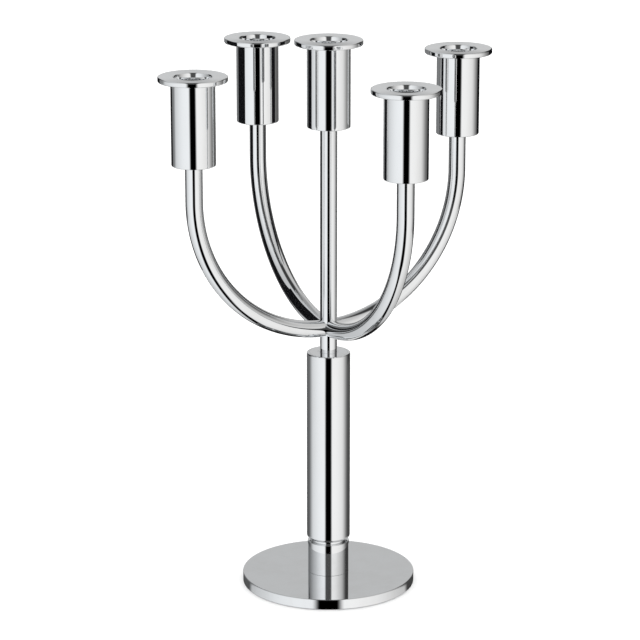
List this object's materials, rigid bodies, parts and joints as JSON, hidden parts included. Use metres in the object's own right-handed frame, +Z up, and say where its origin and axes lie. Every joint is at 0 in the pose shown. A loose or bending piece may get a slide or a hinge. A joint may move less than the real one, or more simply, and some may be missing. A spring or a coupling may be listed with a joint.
{
  "type": "tabletop candelabra",
  "caption": "Polished metal candelabra with a round base, a column and bent tube arms round a taller centre stem, each with a candle cup and a flat drip pan.",
  "frame": {"origin": "centre of the underside, on the surface it stands on", "axes": "+Z up along the column and stem; the arms lie along +X (right), +Y (back), -X (left) and -Y (front)"},
  "size_m": [0.2504, 0.2504, 0.3848],
  "materials": {
    "polished_metal": "mirror polished plating",
    "bright_steel": "zinc plated",
    "turned_brass": "machined",
    "black_felt": "felt"
  },
  "bodies": {
    "base": {"base_felt": "black_felt", "base_disc": "polished_metal", "base_screw": "bright_steel", "foot_collar": "polished_metal", "column_plug": "polished_metal", "column_tube": "polished_metal", "column_cap": "polished_metal", "tie_rod": "bright_steel"},
    "swivel_bush": {"socket_bush": "polished_metal"},
    "branches": {"centre_stem": "polished_metal", "stem_core": "bright_steel", "arm_right": "polished_metal", "arm_back": "polished_metal", "arm_left": "polished_metal", "arm_front": "polished_metal", "tube_plug_centre": "turned_brass", "cup_centre": "polished_metal", "cup_washer_centre": "bright_steel", "cup_screw_centre": "bright_steel", "tube_plug_right": "turned_brass", "cup_right": "polished_metal", "cup_washer_right": "bright_steel", "cup_screw_right": "bright_steel", "tube_plug_back": "turned_brass", "cup_back": "polished_metal", "cup_washer_back": "bright_steel", "cup_screw_back": "bright_steel", "tube_plug_left": "turned_brass", "cup_left": "polished_metal", "cup_washer_left": "bright_steel", "cup_screw_left": "bright_steel", "tube_plug_front": "turned_brass", "cup_front": "polished_metal", "cup_washer_front": "bright_steel", "cup_screw_front": "bright_steel"},
    "pan_centre": {"drip_pan_centre": "polished_metal", "candle_socket_centre": "polished_metal"},
    "pan_right": {"drip_pan_right": "polished_metal", "candle_socket_right": "polished_metal"},
    "pan_back": {"drip_pan_back": "polished_metal", "candle_socket_back": "polished_metal"},
    "pan_left": {"drip_pan_left": "polished_metal", "candle_socket_left": "polished_metal"},
    "pan_front": {"drip_pan_front": "polished_metal", "candle_socket_front": "polished_metal"}
  },
  "joints": [
    {"name": "branch_swivel", "type": "hinge", "parent": "base", "child": "swivel_bush", "pos_m": [0, 0, 0.1476], "axis": [0, 0, 1], "continuous": true},
    {"name": "branch_lift", "type": "slide", "parent": "swivel_bush", "child": "branches", "axis": [0, 0, 1], "range_m": [0, 0.045]},
    {"name": "pan_lift_centre", "type": "slide", "parent": "branches", "child": "pan_centre", "axis": [0, 0, 1], "range_m": [0, 0.035]},
    {"name": "pan_lift_right", "type": "slide", "parent": "branches", "child": "pan_right", "axis": [0, 0, 1], "range_m": [0, 0.035]},
    {"name": "pan_lift_back", "type": "slide", "parent": "branches", "child": "pan_back", "axis": [0, 0, 1], "range_m": [0, 0.035]},
    {"name": "pan_lift_left", "type": "slide", "parent": "branches", "child": "pan_left", "axis": [0, 0, 1], "range_m": [0, 0.035]},
    {"name": "pan_lift_front", "type": "slide", "parent": "branches", "child": "pan_front", "axis": [0, 0, 1], "range_m": [0, 0.035]}
  ]
}
